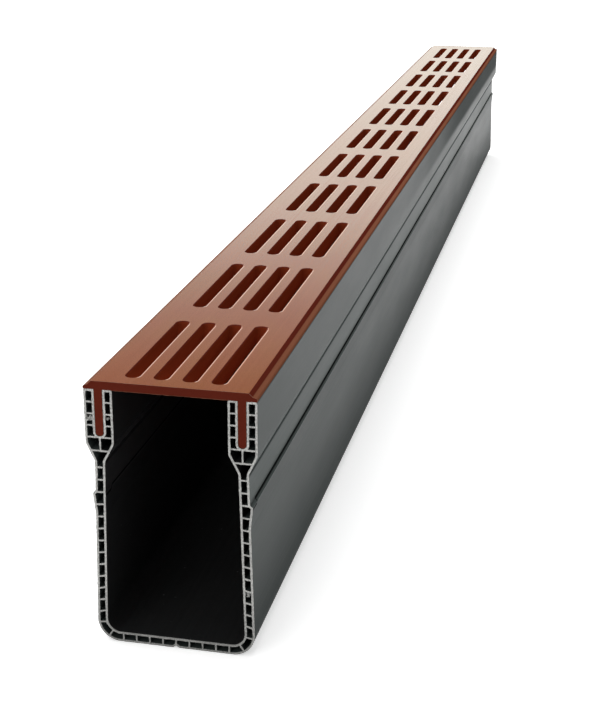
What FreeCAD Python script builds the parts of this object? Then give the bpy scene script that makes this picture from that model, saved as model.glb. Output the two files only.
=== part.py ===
import FreeCAD, Part

import math
import os

# Linear channel drain: a twin-wall U channel in rigid PVC with a slotted grate that plugs into it.
#
# The channel is an extrusion. Its two skins are tied by thin ribs, and the top of each wall widens
# into a fork with a deep groove. The grate is a plate as long as the channel, with two legs, one in
# each groove, and it lies on the fork tops. Between the legs the plate is thicker, so that the bars
# beside the slots are deep, except near its two ends. The grate comes off straight up.
#
# Millimetres. X runs across the channel, Y along it and Z up. The origin is at the middle of the
# length, on the centre line of the underside.

# ---- the extrusion as a whole
length = 1500.0            # both pieces, cut flush at both ends
width = 100.0              # over the outer faces of the two forks
channel_height = 158.4     # from the underside to the fork tops
skin = 1.1                 # each skin of the twin wall
rib = 0.8                  # the ribs between the skins
cell_pitch = 7.7           # from rib to rib down the walls
mouth_rounding = 1.0       # outer and inner edges of the fork tops

# ---- walls and floor
wall = 5.8                 # through a wall, from outer to inner face
wall_set_in = 5.1          # from the fork's outer face in to the wall's outer face, at the neck
wall_splay = 3.0           # how far each wall has leaned out by the time it reaches the underside
rib_droop = 2.0            # how far the outer end of the lowest wall rib hangs below its inner end
first_rib_drop = 3.7       # from the neck down to the highest rib of the wall
floor = 6.1                # through the floor
floor_pitch = 8.06         # from rib to rib across the floor, with one rib on the centre line
outer_corner = 13.5        # rounding between wall and floor, outside
inner_corner = 8.0         # the same inside
corner_rib_angles = (-10.0, -58.0)   # degrees below level, about the centre of the outer rounding
keel_width = 4.0           # V groove along the middle of the underside
keel_depth = 1.3

# ---- catch rail along the outside of each wall
rail_top = 96.1            # where the step leaves the wall
rail_lip_drop = 1.4        # from there down to the tip of the lip
rail_reach = 1.7           # how far the lip stands out from the wall
rail_taper = 13.0          # from the tip down to where it has run back into the wall

# ---- forks
fork = 16.6                # through a fork, from outer to inner face
outer_leg = 5.9            # from the fork's outer face to its groove
groove_width = 5.3
groove_depth = 28.3
groove_rounding = 2.5
fork_cells = 4             # cells beside the groove in each leg of the fork
shoulder_drop = 4.3        # from the groove's bottom down to where the fork starts to narrow
neck_drop = 11.0           # from there down to where the wall begins
shoulder_rounding = 4.0
neck_rounding = 5.0
web_drop = 8.2             # from the groove's bottom skin down to the web that closes the fork

# ---- grate
plate = 4.9                # thickness
edge_bevel_run = 2.2       # steep bevel along both long edges, run and drop
edge_bevel_drop = 2.2
nose_reach = 2.6           # rounded nose outside the bevel
nose_fall = 0.7
nose_rounding = 1.1
foot_rounding = 0.5        # lower edge of the nose
overhang = 0.2             # of the nose past the fork's outer face
leg_clearance = 0.35       # each side, between leg and groove
leg_tip_clearance = 0.5    # below the leg
leg_rounding = 2.1

# ---- slots in the grate
slots_across = 4
slot_width = 8.0
slot_length = 104.8
slot_spacing = 16.8        # from slot to slot across the plate
group_pitch = 135.4        # from group to group along the plate
first_group = 10.0         # from the near end to the first group
last_bar = 6.0             # least material left at the far end
slot_bevel = 0.6           # broken top edge of each slot
bar_drop = 6.1             # how far the thicker middle of the plate reaches below the rest
bar_margin = 2.8           # of the thicker middle beside the outermost slots
bar_set_back = 17.5        # from each end of the plate to the thicker middle

# ---- places that follow from the sizes above
half_width = width / 2
near_end = -length / 2
groove_bottom = channel_height - groove_depth
groove_outer = half_width - outer_leg
groove_inner = groove_outer - groove_width
groove_middle = (groove_outer + groove_inner) / 2
fork_inner = half_width - fork
shoulder = groove_bottom - shoulder_drop
neck = shoulder - neck_drop
wall_outer_at_neck = half_width - wall_set_in
grate_top = channel_height + plate
grate_half_width = half_width + overhang


def wall_outer(z):
    """Outer face of the leaning wall at height z."""
    return wall_outer_at_neck + wall_splay * (neck - z) / neck


def wall_inner(z):
    """Inner face of the leaning wall at height z."""
    return wall_outer(z) - wall


def point(x, z):
    """A point of the cross-section at the near end."""
    return FreeCAD.Vector(x, near_end, z)


def rounded_wire(corners):
    """Closed wire through corners given as (x, z, rounding)."""
    arcs = []
    for i, (x, z, rounding) in enumerate(corners):
        corner = point(x, z)
        back = point(*corners[i - 1][:2]) - corner
        ahead = point(*corners[(i + 1) % len(corners)][:2]) - corner
        back.normalize()
        ahead.normalize()
        half_angle = back.getAngle(ahead) / 2
        run = rounding / math.tan(half_angle)
        inward = back + ahead
        depth = rounding / math.sin(half_angle) - rounding
        if rounding > 0:
            inward.normalize()
        arcs.append((corner + back * run, corner + inward * depth, corner + ahead * run))
    edges = []
    for i, (start, middle, end) in enumerate(arcs):
        if start != end:
            edges.append(Part.Arc(start, middle, end).toShape())
        following = arcs[(i + 1) % len(arcs)][0]
        edges.append(Part.LineSegment(end, following).toShape())
    return Part.Wire(edges)


def both_sides(half):
    """Corners of the whole outline from those of its right half."""
    return half + [(-x, z, rounding) for x, z, rounding in reversed(half) if x > 0]


def strip(x1, z1, x2, z2, thickness):
    """Flat strip of the given thickness along a line in the cross-section."""
    start = point(x1, z1)
    end = point(x2, z2)
    along = end - start
    along.normalize()
    side = FreeCAD.Vector(-along.z, 0, along.x) * (thickness / 2)
    corners = [start + side, end + side, end - side, start - side]
    return Part.Face(Part.makePolygon(corners + corners[:1]))


def channel_outline():
    """Cross-section of the channel with the space between its skins filled."""
    lip = rail_top - rail_lip_drop
    rail_foot = lip - rail_taper
    corners = [
        (0, keel_depth, 0),
        (keel_width / 2, 0, 0),
        (wall_outer(0), 0, outer_corner),
        (wall_outer(rail_foot), rail_foot, neck_rounding),
        (wall_outer(lip) + rail_reach, lip, 0),
        (wall_outer(rail_top), rail_top, 0),
        (wall_outer_at_neck, neck, neck_rounding),
        (half_width, shoulder, shoulder_rounding),
        (half_width, channel_height, mouth_rounding),
        (groove_outer, channel_height, 0),
        (groove_outer, groove_bottom, groove_rounding),
        (groove_inner, groove_bottom, groove_rounding),
        (groove_inner, channel_height, 0),
        (fork_inner, channel_height, mouth_rounding),
        (fork_inner, shoulder, shoulder_rounding),
        (wall_inner(neck), neck, neck_rounding),
        (wall_inner(floor), floor, inner_corner),
    ]
    return Part.Face(rounded_wire(both_sides(corners)))


def fork_ribs():
    """Ribs in the legs of the right fork, the septum under its groove and the web that closes it."""
    bottom_skin = groove_bottom - skin / 2
    pitch = (channel_height - skin / 2 - bottom_skin) / fork_cells
    ribs = []
    for i in range(fork_cells):
        z = bottom_skin + i * pitch
        ribs.append(strip(fork_inner, z, half_width, z, rib))
    web = bottom_skin - web_drop
    ribs.append(strip(groove_middle, bottom_skin, groove_middle, web, rib))
    ribs.append(strip(fork_inner, web, half_width, web, rib))
    return ribs


def wall_ribs():
    """Ribs of the right wall, from the neck down to where the corner starts."""
    first = neck - first_rib_drop
    count = int((first - outer_corner) // cell_pitch) + 1
    ribs = []
    for i in range(count):
        z = first - i * cell_pitch
        droop = rib_droop * i / max(count - 1, 1) / 2
        ribs.append(strip(wall_inner(z), z + droop, wall_outer(z) + rail_reach, z - droop, rib))
    return ribs


def corner_ribs():
    """Ribs across the right-hand corner, laid out about the centre of its outer rounding."""
    centre_x = wall_outer(0) - outer_corner
    inner = outer_corner - wall - skin
    ribs = []
    for angle in corner_rib_angles:
        across = math.cos(math.radians(angle))
        up = math.sin(math.radians(angle))
        ribs.append(strip(centre_x + inner * across, outer_corner + inner * up,
                          centre_x + outer_corner * across, outer_corner + outer_corner * up, rib))
    return ribs


def floor_ribs():
    """Ribs of the floor's right half, from the first beside the middle out to the corner."""
    count = int((wall_outer(0) - outer_corner) // floor_pitch)
    return [strip(i * floor_pitch, 0, i * floor_pitch, floor, rib) for i in range(1, count + 1)]


def cells():
    """The hollow cells between the skins, in the cross-section."""
    right = fork_ribs() + wall_ribs() + corner_ribs() + floor_ribs()
    left = [face.mirror(FreeCAD.Vector(0, 0, 0), FreeCAD.Vector(1, 0, 0)) for face in right]
    keel_rib = strip(0, 0, 0, floor, rib)
    core = channel_outline().makeOffset2D(-skin)
    return core.cut(right + left + [keel_rib]).Faces


def channel():
    """Twin-wall channel, one extrusion."""
    section = channel_outline().cut(cells())
    return section.Faces[0].extrude(FreeCAD.Vector(0, length, 0))


def grate_blank():
    """Plate of the grate with its edge bevels, noses and two legs."""
    bevel_foot = grate_top - edge_bevel_drop
    bevel_top_x = grate_half_width - nose_reach - edge_bevel_run
    leg_outer = groove_outer - leg_clearance
    leg_inner = groove_inner + leg_clearance
    leg_tip = groove_bottom + leg_tip_clearance
    corners = [
        (bevel_top_x, grate_top, 0),
        (bevel_top_x + edge_bevel_run, bevel_foot, 0),
        (grate_half_width, bevel_foot - nose_fall, nose_rounding),
        (grate_half_width, channel_height, foot_rounding),
        (leg_outer, channel_height, 0),
        (leg_outer, leg_tip, leg_rounding),
        (leg_inner, leg_tip, leg_rounding),
        (leg_inner, channel_height, 0),
    ]
    return Part.Face(rounded_wire(both_sides(corners))).extrude(FreeCAD.Vector(0, length, 0))


def thick_middle():
    """What makes the plate thicker between the legs."""
    half_span = (slots_across - 1) / 2 * slot_spacing + slot_width / 2 + bar_margin
    corner = FreeCAD.Vector(-half_span, near_end + bar_set_back, channel_height - bar_drop)
    return Part.makeBox(2 * half_span, length - 2 * bar_set_back, bar_drop + plate / 2, corner)


def slot_outline(x, y, z, widening):
    """Round-ended slot outline that starts at y, grown all round by widening."""
    radius = slot_width / 2 + widening
    first = y + slot_width / 2
    last = y + slot_length - slot_width / 2
    right_near = FreeCAD.Vector(x + radius, first, z)
    right_far = FreeCAD.Vector(x + radius, last, z)
    left_far = FreeCAD.Vector(x - radius, last, z)
    left_near = FreeCAD.Vector(x - radius, first, z)
    far = FreeCAD.Vector(x, last + radius, z)
    near = FreeCAD.Vector(x, first - radius, z)
    return Part.Wire([
        Part.LineSegment(right_near, right_far).toShape(),
        Part.Arc(right_far, far, left_far).toShape(),
        Part.LineSegment(left_far, left_near).toShape(),
        Part.Arc(left_near, near, right_near).toShape(),
    ])


def slot_cutter(x, y):
    """Solid that cuts one slot with its broken top edge."""
    foot = channel_height - 2 * bar_drop
    through = Part.Face(slot_outline(x, y, foot, 0)).extrude(FreeCAD.Vector(0, 0, 2 * grate_top - foot))
    bevel = Part.makeLoft([
        slot_outline(x, y, grate_top - slot_bevel, 0),
        slot_outline(x, y, grate_top + slot_bevel, 2 * slot_bevel),
    ], True, True)
    return through.fuse(bevel)


def grate():
    """Grate with its groups of slots."""
    room = length - first_group - slot_length - last_bar
    groups = int(room // group_pitch) + 1
    cutters = []
    for group in range(groups):
        y = near_end + first_group + group * group_pitch
        for i in range(slots_across):
            cutters.append(slot_cutter((i - (slots_across - 1) / 2) * slot_spacing, y))
    return grate_blank().fuse(thick_middle()).cut(cutters)


def main():
    os.makedirs("parts", exist_ok=True)
    for name, shape in (("channel", channel()), ("grate", grate())):
        if len(shape.Solids) != 1 or not shape.isValid():
            raise ValueError(name + " isn't one valid solid")
        shape.Solids[0].exportStep("parts/" + name + ".step")


main()
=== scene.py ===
import math
from typing import NamedTuple

import bpy
import numpy as np
from mathutils import Matrix, Vector


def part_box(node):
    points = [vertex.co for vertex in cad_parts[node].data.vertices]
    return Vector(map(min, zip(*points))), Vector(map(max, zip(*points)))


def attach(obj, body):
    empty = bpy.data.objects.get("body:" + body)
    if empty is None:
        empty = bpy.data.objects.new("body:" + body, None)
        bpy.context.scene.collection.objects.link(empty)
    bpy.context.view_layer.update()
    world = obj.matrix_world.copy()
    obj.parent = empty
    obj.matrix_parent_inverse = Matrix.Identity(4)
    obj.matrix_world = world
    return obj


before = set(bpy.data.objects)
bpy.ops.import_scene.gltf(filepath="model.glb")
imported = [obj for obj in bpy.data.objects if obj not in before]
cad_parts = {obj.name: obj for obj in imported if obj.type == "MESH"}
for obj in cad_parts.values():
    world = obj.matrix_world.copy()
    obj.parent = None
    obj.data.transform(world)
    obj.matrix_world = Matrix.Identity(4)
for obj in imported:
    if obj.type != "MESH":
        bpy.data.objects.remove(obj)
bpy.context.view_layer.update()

bl_info = {
    "name": "Channel drain finishes",
    "version": (1, 0, 0),
    "blender": (4, 5, 0),
    "location": "View3D > Sidebar > Drain",
    "description": "Dresses a packed channel drain and its slotted grate in their finishes",
    "category": "Object",
}

CHANNEL_LOW, CHANNEL_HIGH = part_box("channel")
GRATE_LOW, GRATE_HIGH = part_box("grate")
MM = 0.001

# ---- the drain's own sizes; heights are from the underside
RAIL_TOP = 96.1 * MM
NECK = 114.8 * MM
SHOULDER = 125.8 * MM
SLOT_WIDTH = 8.0 * MM
SLOT_LENGTH = 104.8 * MM
SLOT_SPACING = 16.8 * MM        # from slot to slot across the grate
SLOT_BEVEL = 0.6 * MM
SLOT_DEPTH = 11 * MM
GROUP_PITCH = 135.4 * MM        # from group to group of slots along the grate
GROUP_CENTRE = GRATE_LOW.y + 62.4 * MM  # middle of the nearest group

# ---- where a finish, a painted shade or a painted highlight changes, each as the start and the end of a smooth run

# Channel: distance from the centre line, heights, and place along it
WATERWAY_SIDE = (42.0 * MM, 42.8 * MM)
WATERWAY_FLOOR = (5.5 * MM, 6.2 * MM)
FOOT = (0, 80 * MM)
SAWN_FOOT = (0, 45 * MM)
RAIL_FOOT = (RAIL_TOP - 15.5 * MM, RAIL_TOP - 13 * MM)
RAIL_HEAD = (RAIL_TOP - 3 * MM, RAIL_TOP - 1 * MM)
RECESS_FOOT = (96 * MM, 99 * MM)
RECESS_HEAD = (SHOULDER - 5 * MM, SHOULDER)
UNDER_NOSE = (131 * MM, 139 * MM)
FAR_HALF = (-0.3, 0.3)

# Channel: distances from a line along it
# The first two are widths of painted shade lines, along the rail's corner and along the neck; the third is
# the width of a painted highlight on the lip
RAIL_SHADE_LINE = (0.2 * MM, 0.9 * MM)
NECK_SHADE_LINE = (0.4 * MM, 2.6 * MM)
RAIL_LIP = (0.5 * MM, 0.9 * MM)
LIP_MIDDLE = RAIL_TOP - 1.1 * MM

# Channel: the painted shade line in the rail's corner lies lower by this much close to the ends, up to so
# far from them
SHADE_DROP = 2.5 * MM
SHADE_DROP_RUN = (9 * MM, 12 * MM)

# Grate: distances from the centre line, heights, and distance from the ends
SLOT_FIELD = (33.0 * MM, 33.5 * MM)
UPPER_SIDE = (45.4 * MM, 45.7 * MM)
NOSE_SIDE = (47.2 * MM, 47.6 * MM)
NOSE_FOOT = (158.6 * MM, 159.0 * MM)
SAWN_DEPTH = (0.2 * MM, 0.5 * MM)

# Grate: the rolled edge, by place across its slot and along its group, and where its painted highlight shows
RIM_SIDE = (2.8 * MM, 4.0 * MM)
RIM_FAR_END = (46 * MM, 50 * MM)
RIM_HIGHLIGHT = (0.1, 0.7)

# Which way a surface faces, as the part of its direction along one axis
FACES_END = (0.7, 0.9)
FACES_PARTLY_END = (0.5, 0.7)
FACES_UP = (0.75, 0.95)
FACES_HALF_UP = (0.55, 0.65)
FACES_PARTLY_UP = (0.3, 0.5)
FACES_AGAINST = (-0.5, -0.2)

# Levels of a grain, from 0 to 1, at which its specks or patches set in
DUST_LEVEL = (0.78, 0.84)
TOOTH_LEVEL = (0.35, 0.65)
HUE_LEVEL = (0.35, 0.65)

# ---- saw marks
BURR_SPACING = 0.45 * MM        # from point to point along the sawn edge
BURR_ROOT_INSET = 0.1 * MM      # from the edge in to the burr's root on the sawn face
BURR_ROOT_LIFT = 0.02 * MM      # by which the root stands off that face
BURR_HEEL = 0.4 * MM            # from the sawn face back to where the burr joins the skin
BURR_REACH_WANDER = 5           # points over which the burr's reach wanders
BURR_LIFT_WANDER = 9            # points over which its lift wanders
CURL_POINTS = 60
CURL_WAVES = 3
CURL_TURNS = 1.5                # of the slowest wave
CURL_THICKNESS = 0.08 * MM
CURL_WIDTH = 0.5 * MM
CURL_DEPTH = 0.6 * MM           # from the sawn face in to the curls' middle, and their reach along Y
SEEDS = {"channel": 7, "grate": 11, "shavings": 23}


class Shavings(NamedTuple):
    """Curled shavings in one cell: place across and up and reach, in mm, and how many."""
    x: float
    z: float
    reach: float
    count: int


SHAVINGS = [
    Shavings(-47.1, 140.6, 1.6, 6),
    Shavings(-36.4, 141.0, 0.7, 2),
    Shavings(44.0, 39.6, 1.1, 2),
]

# ---- stage
FLOOR_HALF = 15.0
FLOOR_GAP = 0.2 * MM            # leaves room for the burrs under the channel


class Lamp(NamedTuple):
    """Soft rectangular lamp: where it stands, what it points at, its size in metres, watts and tint."""
    name: str
    place: tuple
    aim: tuple
    width: float
    height: float
    watts: float
    tint: tuple = (1, 1, 1)


LAMPS = [
    Lamp("overhead", (-0.6, 0.3, 2.4), (0, 0, 0), 2.4, 2.4, 60),
    Lamp("front", (-0.8, -2.6, 1.0), (0, -0.75, 0.1), 1.2, 1.2, 12),
    Lamp("sheen", (-0.9, 3.5, 0.72), (-0.9, 0, 0.72), 3.0, 1.05, 5.0, (0.82, 1, 0.78)),
]


# ---- shader building

class Socket:
    """A value in a node tree that takes part in ordinary arithmetic."""

    def __init__(self, nodes, socket):
        self.nodes = nodes
        self.socket = socket

    def math(self, operation, *values):
        return self.nodes.add("ShaderNodeMath", {"operation": operation}, [self, *values])

    def __add__(self, other):
        return self.math("ADD", other)

    __radd__ = __add__

    def __sub__(self, other):
        return self.math("SUBTRACT", other)

    def __rsub__(self, other):
        return self.nodes.add("ShaderNodeMath", {"operation": "SUBTRACT"}, [other, self])

    def __mul__(self, other):
        return self.math("MULTIPLY", other)

    __rmul__ = __mul__

    def __pow__(self, other):
        return self.math("POWER", other)

    def __abs__(self):
        return self.math("ABSOLUTE")

    def rise(self, start, end):
        """0 up to start, 1 from end on, with a smooth run between them."""
        return self.nodes.add("ShaderNodeMapRange", {"interpolation_type": "SMOOTHSTEP"},
                              {"Value": self, "From Min": start, "From Max": end})

    def fall(self, start, end):
        """1 up to start, 0 from end on, with a smooth run between them."""
        return 1 - self.rise(start, end)

    def swing(self, amount):
        """Factor about 1 that gains the amount as the value goes from 0 to 1."""
        return 1 + amount * (self - 0.5)


class Nodes:
    """The node tree of one material or of the world."""

    def __init__(self, tree):
        self.tree = tree
        tree.nodes.clear()

    def add(self, kind, settings=None, inputs=None, output=0):
        """Node of the given type: its settings first, then values or links for its sockets."""
        node = self.tree.nodes.new(kind)
        for name, value in (settings or {}).items():
            setattr(node, name, value)
        pairs = inputs.items() if isinstance(inputs, dict) else enumerate(inputs or [])
        for key, value in pairs:
            if isinstance(value, Socket):
                self.tree.links.new(value.socket, node.inputs[key])
            elif node.inputs[key].type == "RGBA":
                node.inputs[key].default_value = (*value[:3], 1)
            else:
                node.inputs[key].default_value = value
        return Socket(self, node.outputs[output]) if node.outputs else None

    def mix(self, share, first, second):
        """Colour that goes from first to second as share goes from 0 to 1."""
        return self.add("ShaderNodeMix", {"data_type": "RGBA"}, {0: share, 6: first, 7: second}, 2)

    def brighten(self, colour, amount):
        """Colour multiplied by a value."""
        return self.add("ShaderNodeVectorMath", {"operation": "SCALE"}, {0: colour, 3: amount})

    def axes(self, vector):
        """The X, Y and Z of a vector."""
        split = self.add("ShaderNodeSeparateXYZ", None, [vector])
        return [Socket(self, output) for output in split.socket.node.outputs]

    def place(self):
        """Position on the piece, in metres."""
        return self.add("ShaderNodeTexCoord", output="Object")

    def facing(self):
        """Direction that the surface faces, in the piece's own axes."""
        return self.add("ShaderNodeTexCoord", output="Normal")

    def rays(self):
        """Three values, each 1 for its kind of ray: from the camera, mirrored, and through clear stuff."""
        return [self.add("ShaderNodeLightPath", output=f"Is {kind} Ray")
                for kind in ("Camera", "Glossy", "Transmission")]

    def grain(self, stretch, detail=3, roughness=0.55):
        """Noise from 0 to 1 with so many waves to the metre along X, Y and Z."""
        spread = self.add("ShaderNodeMapping", None, {"Vector": self.place(), "Scale": stretch})
        return self.add("ShaderNodeTexNoise", None,
                        {"Vector": spread, "Scale": 1.0, "Detail": detail, "Roughness": roughness})

    def bump(self, height, depth, under=None):
        """Normal of a surface with the given relief, depth in metres."""
        inputs = {"Height": height, "Distance": depth, "Strength": 1.0}
        if under is not None:
            inputs["Normal"] = under
        return self.add("ShaderNodeBump", None, inputs)

    def plastic(self, colour, roughness, normal, gloss):
        """Surface of a rigid plastic."""
        return self.add("ShaderNodeBsdfPrincipled", None, {
            "Base Color": colour, "Roughness": roughness, "Normal": normal, "Specular IOR Level": gloss})

    def mix_surfaces(self, share, first, second):
        """Surface that goes from first to second as share goes from 0 to 1."""
        return self.add("ShaderNodeMixShader", None, [share, first, second])

    def output(self, surface):
        """The surface that the material shows."""
        self.add("ShaderNodeOutputMaterial", None, {"Surface": surface})


def new_material(name):
    """Empty material with its node tree."""
    material = bpy.data.materials.new(name)
    material.use_nodes = True
    return material, Nodes(material.node_tree)


def channel_plastic(finish):
    """Dark grey rigid PVC: satin drawn skins with die lines along the length, paler where it is sawn."""
    material, nodes = new_material("channel_pvc")
    x, y, z = nodes.axes(nodes.place())
    sawn = abs(nodes.axes(nodes.facing())[1]).rise(*FACES_END)
    mottle = nodes.grain((45, 9, 45), detail=4)
    die_lines = nodes.grain((900, 1.2, 900), detail=2)
    dust = nodes.grain((260, 260, 260), detail=1).rise(*DUST_LEVEL)
    # Painted shade: the inside of the waterway takes a near-black copy of the skin, with real specks of dust
    # on it
    inside = abs(x).fall(*WATERWAY_SIDE) * z.rise(*WATERWAY_FLOOR)
    # Painted shade: a dark line in the corner under the rail's lip
    rail_painted_shade = painted_shade_along_rail(y, z)
    # Painted shade: a soft dark line along the neck, just under the shoulder's edge
    neck_painted_shade = abs(z - NECK).fall(*NECK_SHADE_LINE)
    # Painted highlight: the rail's lip and the recess above it are made lighter
    lip = abs(z - LIP_MIDDLE).fall(*RAIL_LIP)
    # Painted shade on the rail's face, to even out its shading
    rail = z.rise(*RAIL_FOOT) * z.fall(*RAIL_HEAD)
    recess = z.rise(*RECESS_FOOT) * z.fall(*RECESS_HEAD)
    # Painted shade on the forks' upper part under the grate's nose, growing toward the far end
    under_nose = z.rise(*UNDER_NOSE) * y.rise(*FAR_HALF)
    skin = nodes.mix(inside, nodes.mix(mottle, finish.skin_colour, finish.skin_colour_light),
                     nodes.mix(dust, finish.inner_shade_colour, finish.dust_colour))
    # Tone: real die lines, times the painted shade lines along the rail's corner and the neck, times the
    # painted highlight on the lip and the recess
    shade = (die_lines.swing(finish.die_line_tone) * (1 - finish.rail_painted_shade * rail_painted_shade)
             * (1 - finish.neck_painted_shade * neck_painted_shade) * (1 + finish.painted_lip_light * (lip + recess)))
    relief = nodes.bump(die_lines, finish.die_line_depth)
    roughness = (finish.roughness + finish.patchiness * (mottle - 0.5)
                 + finish.shade_line_roughness * (rail_painted_shade + neck_painted_shade))
    glossy = nodes.plastic(nodes.brighten(skin, shade), roughness, relief, finish.gloss)
    # Painted shade: a darker copy of the skin without gloss, mixed in toward the foot, under the grate's
    # nose, along the painted shade lines and a little on the rail
    dull = nodes.plastic(nodes.brighten(skin, finish.dull_tone * shade), roughness, relief, 0.0)
    by_height = (z.fall(*FOOT) * finish.foot_shade).math("MAXIMUM", under_nose * finish.nose_shade)
    by_shade_lines = finish.rail_painted_shade_dull * rail_painted_shade + finish.neck_painted_shade_dull * neck_painted_shade + finish.rail_dull * rail
    drawn = nodes.mix_surfaces(by_height.math("MAXIMUM", by_shade_lines), glossy, dull)
    nodes.output(nodes.mix_surfaces(sawn, drawn, sawn_surface(nodes, finish)))
    return material


def painted_shade_along_rail(y, z):
    """How much painted shade lies in the corner along the rail's top, where the lip casts its shadow."""
    from_end = CHANNEL_HIGH.y - abs(y)
    return abs(z - RAIL_TOP + SHADE_DROP * from_end.fall(*SHADE_DROP_RUN)).fall(*RAIL_SHADE_LINE)


def sawn_surface(nodes, finish):
    """Pale surface the saw leaves, torn and uneven, darker toward the underside."""
    saw_teeth = nodes.grain((2600, 2600, 700), detail=2)
    blotches = nodes.grain((120, 300, 120), detail=3)
    cut = nodes.mix(saw_teeth.rise(*TOOTH_LEVEL), finish.sawn_colour, finish.sawn_colour_light)
    height = nodes.axes(nodes.place())[2].rise(*SAWN_FOOT)
    tone = 1 - finish.sawn_foot_shade * (1 - height)
    blotched = finish.blotch_low + finish.blotch_tone * blotches
    return nodes.plastic(nodes.brighten(cut, tone * blotched), finish.sawn_roughness,
                         nodes.bump(saw_teeth, finish.tooth_depth), finish.sawn_gloss)


def torn_plastic(finish):
    """Pale plastic of burrs and shavings."""
    material, nodes = new_material("channel_swarf")
    nodes.output(sawn_surface(nodes, finish))
    return material


def from_middle(x):
    """How far to the right of its slot's middle line a place lies, negative to the left."""
    return x.math("WRAP", SLOT_SPACING, 0.0) - SLOT_SPACING / 2


def past_group_middle(y):
    """How far beyond the middle of its group of slots a place lies, negative on the near side."""
    return (y - GROUP_CENTRE).math("WRAP", GROUP_PITCH / 2, -GROUP_PITCH / 2)


def from_slots(x, y):
    """Distance from the nearest slot's outline, negative inside it."""
    across = from_middle(x)
    past_end = (abs(past_group_middle(y)) - (SLOT_LENGTH - SLOT_WIDTH) / 2).math("MAXIMUM", 0.0)
    return (across * across + past_end * past_end) ** 0.5 - SLOT_WIDTH / 2


def rolled_rim(x, y, width):
    """1 at the top of a slot's bevel down to 0 at the given width from it.

    Only on the right side of the slots, and fading out toward their far end. It gives the rolled edge its
    relief and marks where the painted highlight goes.
    """
    rim = (1 + (SLOT_BEVEL - from_slots(x, y)) * (1 / width)).math("MAXIMUM", 0.0).math("MINIMUM", 1.0)
    right_side = from_middle(x).rise(*RIM_SIDE) * past_group_middle(y).fall(*RIM_FAR_END)
    return rim * right_side * abs(x).fall(*SLOT_FIELD)


def grate_plastic(finish):
    """Terracotta rigid PVC: glossy top, lighter than the body partly from scuffs and partly as painted
    sheen, with rolled slot edges that carry a painted highlight, and deeper red on its cut and punched
    faces; the slot walls and noses take lighter reds as painted light.
    """
    material, nodes = new_material("grate_pvc")
    x, y, z = nodes.axes(nodes.place())
    across, along, up = nodes.axes(nodes.facing())
    mottle = nodes.grain((60, 14, 60), detail=4)
    hue = nodes.grain((34, 12, 34), detail=2).rise(*HUE_LEVEL)
    speckle = nodes.grain((1500, 1100, 1500), detail=2)
    lines = nodes.grain((1100, 2.0, 1100), detail=2)
    slotted = abs(x).fall(*SLOT_FIELD)
    upper_face = up.rise(*FACES_UP) * abs(x).fall(*UPPER_SIDE)
    # Painted light: the rounded noses along the long edges take a lighter red than the body
    nose = abs(x).rise(*NOSE_SIDE) * z.rise(*NOSE_FOOT) * abs(along).fall(*FACES_PARTLY_END)
    punched = (GRATE_HIGH.y - abs(y)).rise(*SAWN_DEPTH) * up.fall(*FACES_PARTLY_UP) * slotted
    # Painted highlight: bevels that face left and the right side of each rolled rim take a pale edge colour,
    # as if catching the light
    left_edge = up.rise(*FACES_HALF_UP) * across.fall(*FACES_AGAINST) * along.rise(*FACES_AGAINST)
    rim = rolled_rim(x, y, finish.rolled_edge)
    painted_edge_highlight = (left_edge * slotted * (1 - upper_face)).math("MAXIMUM", rim.rise(*RIM_HIGHLIGHT))
    # The upper face's colours are lighter than the body's partly from scuffs and partly as painted sheen
    patches = nodes.mix(hue, finish.top_colour, finish.top_colour_yellow)
    mottle_and_highlight = nodes.mix(painted_edge_highlight, nodes.mix(mottle, patches, finish.top_colour_light), finish.edge_highlight_colour)
    tone = lines.swing(finish.line_tone) + finish.speckle_tone * (speckle - 0.5)
    fine_relief = (1 - finish.speckle_share) * lines + finish.speckle_share * speckle
    relief = nodes.bump(fine_relief, finish.fine_depth, nodes.bump(1 - rim * rim, finish.roll_depth))
    upper = nodes.plastic(nodes.brighten(mottle_and_highlight, tone), finish.roughness + finish.patchiness * (lines - 0.5),
                          relief, finish.gloss)
    body = nodes.mix(nose, finish.body_colour, finish.nose_colour_lit)
    # Painted light: the slot walls take a lighter copy of the body red, lighter still deep down, to make up
    # for the shade inside the slots
    depth = z.fall(GRATE_HIGH.z - SLOT_DEPTH, GRATE_HIGH.z)
    wall = nodes.brighten(finish.slot_colour_lit, depth.swing(finish.slot_depth_painted_light))
    cut = nodes.plastic(nodes.brighten(nodes.mix(punched, body, wall), mottle.swing(finish.mottle_tone)),
                        finish.body_roughness, nodes.bump(speckle, finish.fine_depth), finish.body_gloss)
    nodes.output(nodes.mix_surfaces(upper_face.math("MAXIMUM", left_edge), cut, upper))
    return material


def torn_red(finish):
    """Plastic of the grate's burrs."""
    material, nodes = new_material("grate_burr")
    tone = nodes.grain((900, 900, 900)).swing(finish.burr_tone)
    torn = nodes.bump(nodes.grain((2500, 2500, 2500)), finish.fine_depth)
    nodes.output(nodes.plastic(nodes.brighten(finish.nose_colour_lit, tone), finish.burr_roughness, torn,
                               finish.burr_gloss))
    return material


# ---- shapes

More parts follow.
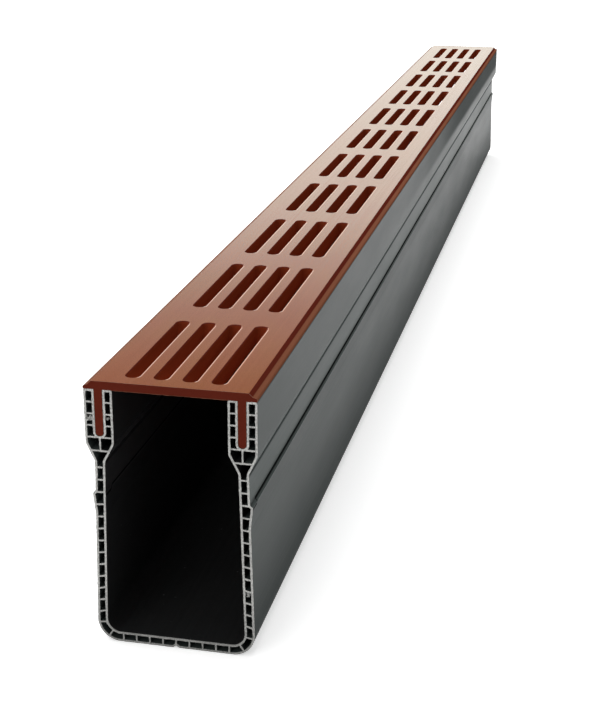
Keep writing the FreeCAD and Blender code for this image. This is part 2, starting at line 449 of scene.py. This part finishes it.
def end_loops(name, far):
    """Outlines of a piece's sawn end and the end's place along Y.

    Each outline is a closed run of (x, z) points, taken from the edges that only one triangle of
    the end face has, in that triangle's own direction.
    """
    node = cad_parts[name]
    mesh = node.data
    mesh.calc_loop_triangles()
    places = np.empty(len(mesh.vertices) * 3)
    mesh.vertices.foreach_get("co", places)
    turn = np.array(node.matrix_world.to_3x3())
    places = places.reshape(-1, 3) @ turn.T + np.array(node.matrix_world.translation)
    triangles = np.empty(len(mesh.loop_triangles) * 3, dtype=int)
    mesh.loop_triangles.foreach_get("vertices", triangles)
    _, first, same = np.unique(np.round(places, 7), axis=0, return_index=True, return_inverse=True)
    places = places[first]
    triangles = same.ravel()[triangles].reshape(-1, 3)
    end = places[:, 1].max() if far else places[:, 1].min()
    cap = triangles[(abs(places[triangles][:, :, 1] - end) < MM / 1000).all(axis=1)]
    edges = np.concatenate([cap[:, [0, 1]], cap[:, [1, 2]], cap[:, [2, 0]]])
    known = {tuple(edge) for edge in edges}
    following = {a: b for a, b in known if (b, a) not in known}
    loops = []
    while following:
        start = next(iter(following))
        loop = []
        while start in following:
            loop.append(start)
            start = following.pop(start)
        loops.append(places[loop][:, [0, 2]])
    return loops, end


def resample(loop, spacing):
    """Closed loop with points at even spacing along its length, at least six."""
    closed = np.vstack([loop, loop[:1]])
    run = np.concatenate([[0], np.cumsum(np.linalg.norm(np.diff(closed, axis=0), axis=1))])
    count = max(int(run[-1] / spacing), 6)
    at = np.arange(count) * run[-1] / count
    return np.stack([np.interp(at, run, closed[:, axis]) for axis in (0, 1)], axis=1)


def ragged(count, reach, rng):
    """Closed run of values from 0 to 1 that wander over so many steps.

    Random values are averaged round the loop with a bell-shaped weight over the reach, then
    stretched so that the least is 0 and the greatest 1.
    """
    kernel = np.hanning(reach + 2)[1:-1]
    raw = rng.random(count)
    smooth = np.real(np.fft.ifft(np.fft.fft(raw) * np.fft.fft(kernel, count)))
    return (smooth - smooth.min()) / max(np.ptp(smooth), 1e-9)


def burr_mesh(loops, end, outward, reach, rng):
    """Ragged burrs along the sawn edges, each a closed three-sided tube round its loop.

    At each point of a loop the tube's first corner lies on the sawn face, a little in from the
    edge. The second is the tip: it stands off the plastic by reach times the square of a value
    that wanders along the loop, and out of the end by reach times another such value. The third
    lies on the edge, a little behind the sawn face.
    """
    points, faces = [], []
    for loop in loops:
        edge = resample(loop, BURR_SPACING)
        count = len(edge)
        ahead = np.roll(edge, -1, axis=0) - np.roll(edge, 1, axis=0)
        ahead /= np.maximum(np.linalg.norm(ahead, axis=1, keepdims=True), 1e-9)
        away = np.stack([ahead[:, 1], -ahead[:, 0]], axis=1) * -outward
        stand_off = ragged(count, BURR_REACH_WANDER, rng)[:, None] ** 2 * reach
        lift = ragged(count, BURR_LIFT_WANDER, rng)[:, None] * reach
        corners = [(edge - away * BURR_ROOT_INSET, BURR_ROOT_LIFT), (edge + away * stand_off, lift),
                   (edge, -BURR_HEEL)]
        start = sum(len(run) for run in points)
        for flat, out in corners:
            y = np.broadcast_to(end + outward * out, (count, 1))
            points.append(np.column_stack([flat[:, 0], y[:, 0], flat[:, 1]]))
        i = np.arange(count)
        j = (i + 1) % count
        for side in range(3):
            a, b = start + side * count, start + (side + 1) % 3 * count
            faces.append(np.stack([a + i, b + i, b + j, a + j], axis=1))
    return np.concatenate(points), np.concatenate(faces)


def curl_mesh(centre, spread, rng):
    """Curled shaving: a closed ribbon along a space curve, within a spread of its centre.

    Along each axis the curve is the sum of three sine waves, one, two and three times as fast,
    each with a random start and a random height over its number, and the sum is scaled to the
    spread. The ribbon's width follows a sine from a tenth to nine tenths of its half turn, so it
    tapers at both ends.
    """
    t = np.linspace(0, 1, CURL_POINTS)[:, None]
    waves = np.arange(1, CURL_WAVES + 1)
    starts = rng.random((3, 1, CURL_WAVES))
    heights = rng.normal(size=(3, 1, CURL_WAVES)) / waves
    path = (np.sin(2 * np.pi * (t * waves * CURL_TURNS + starts)) * heights).sum(axis=2).T
    path = path / np.abs(path).max(axis=0) * spread + centre
    tangent = np.gradient(path, axis=0)
    tangent /= np.linalg.norm(tangent, axis=1, keepdims=True)
    side = np.cross(tangent, rng.normal(size=3))
    side /= np.linalg.norm(side, axis=1, keepdims=True)
    over = np.cross(side, tangent) * CURL_THICKNESS / 2
    side = side * CURL_WIDTH / 2 * np.sin(np.pi * (0.1 + 0.8 * t))
    points = np.stack([path - side - over, path + side - over, path + side + over, path - side + over])
    i = np.arange(CURL_POINTS - 1)
    faces = [np.stack([a + i, b + i, b + i + 1, a + i + 1], axis=1)
             for a, b in CURL_POINTS * np.array([(1, 0), (2, 1), (3, 2), (0, 3)])]
    corners = np.arange(4) * CURL_POINTS
    ends = np.stack([corners, corners[::-1] + CURL_POINTS - 1])
    return points.reshape(-1, 3), np.concatenate([*faces, ends])


def join(parts):
    """One set of points and faces from several."""
    offsets = np.cumsum([0] + [len(points) for points, _ in parts[:-1]])
    return (np.concatenate([points for points, _ in parts]),
            np.concatenate([faces + offset for (_, faces), offset in zip(parts, offsets)]))


def burrs(name, reach):
    """Burrs of both sawn ends of a piece."""
    rng = np.random.default_rng(SEEDS[name])
    return join([burr_mesh(*end_loops(name, far), 1 if far else -1, reach, rng) for far in (False, True)])


def shavings():
    """All the curled shavings, each bundle in its cell at the near end."""
    rng = np.random.default_rng(SEEDS["shavings"])
    curls = []
    for bundle in SHAVINGS:
        centre = np.array([bundle.x * MM, CHANNEL_LOW.y + CURL_DEPTH, bundle.z * MM])
        spread = np.array([bundle.reach * MM, CURL_DEPTH, bundle.reach * MM])
        curls += [curl_mesh(centre, spread, rng) for _ in range(bundle.count)]
    return join(curls)


def add_piece(name, shape, material, body):
    """New object from points and faces, carried by a body and dressed for its slot."""
    points, faces = shape
    mesh = bpy.data.meshes.new(name)
    mesh.from_pydata(points.tolist(), [], faces.tolist())
    mesh.materials.append(material)
    piece = bpy.data.objects.new(name, mesh)
    bpy.context.scene.collection.objects.link(piece)
    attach(piece, body)


# ---- stage

def floor_surface(studio):
    """Pale floor that shows white to the camera and in reflections and keeps soft shadows."""
    material, nodes = new_material("studio_floor")
    camera, mirrored, through = nodes.rays()
    shown = (camera + mirrored + through).math("MINIMUM", 1.0)
    matt = nodes.add("ShaderNodeBsdfDiffuse", None, {"Color": studio.floor_colour})
    glow = nodes.add("ShaderNodeEmission", None, {"Color": (1, 1, 1), "Strength": studio.floor_glow})
    both = nodes.add("ShaderNodeAddShader", None, [matt, glow])
    nodes.output(nodes.mix_surfaces(shown, matt, both))
    return material


def light_the_world(studio):
    """Plain light from all round; the camera sees white, reflections a white wall under a dim ceiling."""
    world = bpy.data.worlds.new("studio")
    bpy.context.scene.world = world
    world.use_nodes = True
    nodes = Nodes(world.node_tree)
    up = nodes.axes(nodes.add("ShaderNodeTexCoord", output="Generated"))[2]
    camera, mirrored, through = nodes.rays()
    wall = up.fall(math.sin(studio.wall_top), math.sin(studio.ceiling_start))
    pictured = studio.ceiling_level + (1 - studio.ceiling_level) * wall
    reflected = (mirrored + through).math("MINIMUM", 1.0) * pictured
    lighting = 1 - (camera + mirrored + through).math("MINIMUM", 1.0)
    level = (reflected + camera).math("MAXIMUM", lighting * studio.ambient)
    glow = nodes.add("ShaderNodeBackground", None, {"Color": (1, 1, 1), "Strength": level})
    nodes.add("ShaderNodeOutputWorld", None, {"Surface": glow})


def add_floor(studio):
    """Square floor just below the channel, part of the stage."""
    level = CHANNEL_LOW.z - FLOOR_GAP
    corners = [(x * FLOOR_HALF, y * FLOOR_HALF, level) for x, y in ((-1, -1), (1, -1), (1, 1), (-1, 1))]
    sheet = bpy.data.meshes.new("floor")
    sheet.from_pydata(corners, [], [(0, 1, 2, 3)])
    sheet.materials.append(floor_surface(studio))
    floor = bpy.data.objects.new("floor", sheet)
    bpy.context.scene.collection.objects.link(floor)


def add_lamp(lamp):
    """One of the stage's lamps, which the camera doesn't see."""
    light = bpy.data.lights.new(lamp.name, "AREA")
    light.shape = "RECTANGLE"
    light.size = lamp.width
    light.size_y = lamp.height
    light.energy = lamp.watts
    light.color = lamp.tint
    stand = bpy.data.objects.new(lamp.name, light)
    stand.visible_camera = False
    direction = Vector(lamp.aim) - Vector(lamp.place)
    turn = direction.to_track_quat("-Z", "Y").to_matrix().to_4x4()
    stand.matrix_world = Matrix.Translation(lamp.place) @ turn
    bpy.context.scene.collection.objects.link(stand)


def add_camera(studio):
    """Camera in front of the near end, to the right of the drain and above it."""
    data = bpy.data.cameras.new("camera")
    data.sensor_width = 36
    data.lens = studio.lens
    data.clip_start = 0.01
    turn, dip, roll = studio.turn, studio.dip, studio.roll
    ahead = Vector((math.sin(turn) * math.cos(dip), math.cos(turn) * math.cos(dip), -math.sin(dip)))
    right = ahead.cross(Vector((0, 0, 1))).normalized()
    up = right.cross(ahead)
    rolled_right = math.cos(roll) * right + math.sin(roll) * up
    rolled_up = math.cos(roll) * up - math.sin(roll) * right
    axes = Matrix((rolled_right, rolled_up, -ahead)).transposed()
    place = Vector((studio.beside, CHANNEL_LOW.y - studio.in_front, CHANNEL_LOW.z + studio.above))
    camera = bpy.data.objects.new("camera", data)
    camera.matrix_world = Matrix.Translation(place) @ axes.to_4x4()
    bpy.context.scene.collection.objects.link(camera)
    bpy.context.scene.camera = camera


# ---- settings

def colour(name, description, default):
    """Setting that holds a colour, as linear red, green and blue."""
    return bpy.props.FloatVectorProperty(name=name, description=description, default=default,
                                         size=3, min=0, max=1, subtype="COLOR")


def share(name, description, default):
    """Setting that holds a share or a strength, where 1 is full."""
    return bpy.props.FloatProperty(name=name, description=description, default=default,
                                   min=0, max=2, subtype="FACTOR")


def distance(name, description, default):
    """Setting that holds a distance in metres."""
    return bpy.props.FloatProperty(name=name, description=description, default=default,
                                   subtype="DISTANCE", unit="LENGTH")


def angle(name, description, degrees):
    """Setting that holds an angle, given in degrees and kept in radians."""
    return bpy.props.FloatProperty(name=name, description=description, default=math.radians(degrees),
                                   subtype="ANGLE", unit="ROTATION")


class ChannelFinish(bpy.types.PropertyGroup):
    """The channel's plastic, drawn and sawn."""
    skin_colour: colour("Skin", "Drawn skins of the channel", (0.040, 0.048, 0.0465))
    skin_colour_light: colour("Lighter skin", "Lighter patches of the skins", (0.047, 0.056, 0.054))
    # Painted shade: near-black copy of the skin for the inside of the waterway
    inner_shade_colour: colour("Inner", "Skins inside the waterway", (0.014, 0.014, 0.0145))
    dust_colour: colour("Dust", "Specks of dust inside the waterway", (0.09, 0.09, 0.09))
    roughness: share("Roughness", "Roughness of the skins", 0.3)
    patchiness: share("Patchiness", "How far the roughness varies in patches", 0.12)
    gloss: share("Gloss", "Specular level of the skins", 0.02)
    # Painted shade: the darker, glossless copy of the skin toward the walls' foot, under the grate's nose
    # and on the rail, and its tone
    foot_shade: share("Foot shade", "How far the walls lose their gloss toward their foot", 0.7)
    nose_shade: share("Nose shade", "How far the forks lose their gloss under the grate's nose", 0.8)
    rail_dull: share("Rail dull", "How far the rail loses its gloss", 0.18)
    dull_tone: share("Dull tone", "Tone where the gloss is lost", 0.8)
    die_line_tone: share("Die lines", "How far the die lines vary the tone", 0.3)
    die_line_depth: distance("Die line depth", "Relief of the die lines", 0.04 * MM)
    # Painted highlight on the rail's lip and on the recess above it
    painted_lip_light: share("Lip", "How much lighter the rail's lip and the recess above it are", 0.5)
    # Painted shade lines along the rail's corner and along the neck: how dark they are, how far they take
    # the gloss, and what they add to the roughness
    rail_painted_shade: share("Rail dirt", "How dark the dirt along the rail is", 0.85)
    neck_painted_shade: share("Neck dirt", "How dark the dirt along the neck is", 0.5)
    rail_painted_shade_dull: share("Rail dirt dull", "How far the dirt along the rail takes the gloss", 0.9)
    neck_painted_shade_dull: share("Neck dirt dull", "How far the dirt along the neck takes the gloss", 0.7)
    shade_line_roughness: share("Dirt roughness", "What dirt adds to the roughness", 0.3)
    sawn_colour: colour("Sawn", "Sawn ends of skins and ribs", (0.26, 0.26, 0.25))
    sawn_colour_light: colour("Lighter sawn", "Tooth marks on the sawn ends", (0.52, 0.52, 0.50))
    sawn_foot_shade: share("Sawn foot", "How much darker the sawn ends are at the underside", 0.35)
    sawn_roughness: share("Sawn roughness", "Roughness of the sawn ends", 0.75)
    sawn_gloss: share("Sawn gloss", "Specular level of the sawn ends", 0.2)
    blotch_low: share("Blotch low", "Tone of the darkest blotches on the sawn ends", 0.7)
    blotch_tone: share("Blotches", "How far the blotches rise above that", 0.8)
    tooth_depth: distance("Tooth depth", "Relief of the tooth marks", 0.03 * MM)
    burr: distance("Burr", "Reach of the burrs along the sawn edges", 0.22 * MM)


class GrateFinish(bpy.types.PropertyGroup):
    """The grate's plastic, above, along its edges and in its slots."""
    # Upper face: lighter than the body partly from scuffs and partly as painted sheen
    top_colour: colour("Top", "Upper face of the grate", (0.215, 0.052, 0.016))
    top_colour_yellow: colour("Yellower top", "Yellower patches of the upper face", (0.215, 0.066, 0.012))
    top_colour_light: colour("Lighter top", "Lighter patches of the upper face", (0.265, 0.080, 0.026))
    # Painted highlight on the slot edges that face the light
    edge_highlight_colour: colour("Bright edge", "Broken slot edges that face the light", (0.62, 0.31, 0.21))
    body_colour: colour("Body", "Cut and lower faces", (0.098, 0.016, 0.009))
    # Painted light: lighter copy of the body red for the slot walls
    slot_colour_lit: colour("Slots", "Punched walls of the slots", (0.295, 0.047, 0.016))
    # Painted light: lighter red for the rounded noses
    nose_colour_lit: colour("Nose", "Rounded noses along the edges", (0.165, 0.060, 0.033))
    roughness: share("Roughness", "Roughness of the upper face", 0.16)
    patchiness: share("Patchiness", "How far the roughness varies along the drawn lines", 0.1)
    gloss: share("Gloss", "Specular level of the upper face", 0.5)
    line_tone: share("Lines", "How far the drawn lines vary the tone of the upper face", 0.14)
    speckle_tone: share("Speckle", "How far the speckle varies the tone of the upper face", 1.0)
    speckle_share: share("Speckle share", "Share of speckle in the fine relief; the rest is lines", 0.3)
    fine_depth: distance("Fine depth", "Fine relief of every face", 0.02 * MM)
    rolled_edge: distance("Rolled edge", "Width of the rolled edge round each slot", 0.9 * MM)
    roll_depth: distance("Roll depth", "How far the rolled edge dips", 0.08 * MM)
    body_roughness: share("Body roughness", "Roughness of the other faces", 0.5)
    body_gloss: share("Body gloss", "Specular level of the other faces", 0.0)
    mottle_tone: share("Mottle", "How far the tone of the other faces varies in patches", 0.4)
    # Painted light that grows deep down in the slots
    slot_depth_painted_light: share("Slot depth", "How much lighter the slots' walls are deep down", 0.6)
    burr_tone: share("Burr tone", "How far the tone of the burrs varies", 0.6)
    burr_roughness: share("Burr roughness", "Roughness of the burrs", 0.6)
    burr_gloss: share("Burr gloss", "Specular level of the burrs", 0.1)
    burr: distance("Burr", "Reach of the burrs along the sawn edges", 0.3 * MM)


class Studio(bpy.types.PropertyGroup):
    """Floor, surroundings and camera."""
    floor_colour: colour("Floor", "Floor", (0.85, 0.85, 0.85))
    floor_glow: share("Floor glow", "Glow that lifts the floor to white for camera and reflections", 0.5)
    ambient: share("Ambient", "Light from all round", 0.55)
    ceiling_level: share("Ceiling", "How bright the ceiling looks in reflections", 0.04)
    wall_top: angle("Wall top", "How high the white wall reaches above the horizon", 13)
    ceiling_start: angle("Ceiling start", "Where the dim ceiling begins", 22)
    beside: distance("Beside", "Camera, to the right of the centre line", 0.2272)
    in_front: distance("In front", "Camera, in front of the near end", 0.7077)
    above: distance("Above", "Camera, above the underside", 0.4415)
    turn: angle("Turn", "Camera's turn from straight along the drain", -12.424)
    dip: angle("Dip", "Camera's dip below level", 19.295)
    roll: angle("Roll", "Camera's roll", 0.132)
    lens: bpy.props.FloatProperty(name="Lens", description="Focal length in mm", default=73.02, min=1)


# ---- operators

class DRAIN_OT_channel(bpy.types.Operator):
    """Give the channel its plastic"""
    bl_idname = "drain.channel"
    bl_label = "Finish channel"

    def execute(self, context):
        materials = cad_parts["channel"].data.materials
        materials.clear()
        materials.append(channel_plastic(context.scene.drain_channel))
        return {"FINISHED"}


class DRAIN_OT_grate(bpy.types.Operator):
    """Give the grate its plastic"""
    bl_idname = "drain.grate"
    bl_label = "Finish grate"

    def execute(self, context):
        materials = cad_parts["grate"].data.materials
        materials.clear()
        materials.append(grate_plastic(context.scene.drain_grate))
        return {"FINISHED"}


class DRAIN_OT_saw_marks(bpy.types.Operator):
    """Burrs along the sawn edges of both pieces, and shavings left in a few cells"""
    bl_idname = "drain.saw_marks"
    bl_label = "Add saw marks"

    def execute(self, context):
        channel, grate = context.scene.drain_channel, context.scene.drain_grate
        pale = torn_plastic(channel)
        add_piece("channel_burrs", burrs("channel", channel.burr), pale, "channel")
        add_piece("grate_burrs", burrs("grate", grate.burr), torn_red(grate), "grate")
        add_piece("shavings", shavings(), pale, "channel")
        return {"FINISHED"}


class DRAIN_OT_stage(bpy.types.Operator):
    """Floor, lamps, surroundings and camera"""
    bl_idname = "drain.stage"
    bl_label = "Set the stage"

    def execute(self, context):
        studio = context.scene.drain_studio
        add_floor(studio)
        light_the_world(studio)
        for lamp in LAMPS:
            add_lamp(lamp)
        add_camera(studio)
        context.scene.view_settings.view_transform = "Standard"
        return {"FINISHED"}


class DRAIN_PT_panel(bpy.types.Panel):
    """Sidebar panel with the drain's operators and settings"""
    bl_idname = "DRAIN_PT_panel"
    bl_label = "Channel drain"
    bl_space_type = "VIEW_3D"
    bl_region_type = "UI"
    bl_category = "Drain"

    def draw(self, context):
        for operator, settings in STEPS:
            self.layout.operator(operator.bl_idname)
            if settings:
                group = getattr(context.scene, settings)
                for name in group.__annotations__:
                    self.layout.prop(group, name)


SETTINGS = {"drain_channel": ChannelFinish, "drain_grate": GrateFinish, "drain_studio": Studio}
STEPS = [
    (DRAIN_OT_channel, "drain_channel"),
    (DRAIN_OT_grate, "drain_grate"),
    (DRAIN_OT_saw_marks, None),
    (DRAIN_OT_stage, "drain_studio"),
]


def register():
    for name, group in SETTINGS.items():
        bpy.utils.register_class(group)
        setattr(bpy.types.Scene, name, bpy.props.PointerProperty(type=group))
    for operator, _ in STEPS:
        bpy.utils.register_class(operator)
    bpy.utils.register_class(DRAIN_PT_panel)


def unregister():
    bpy.utils.unregister_class(DRAIN_PT_panel)
    for operator, _ in reversed(STEPS):
        bpy.utils.unregister_class(operator)
    for name, group in SETTINGS.items():
        delattr(bpy.types.Scene, name)
        bpy.utils.unregister_class(group)


def main():
    register()
    for operator, _ in STEPS:
        group, name = operator.bl_idname.split(".")
        getattr(getattr(bpy.ops, group), name)()


if __name__ == "__main__":
    main()
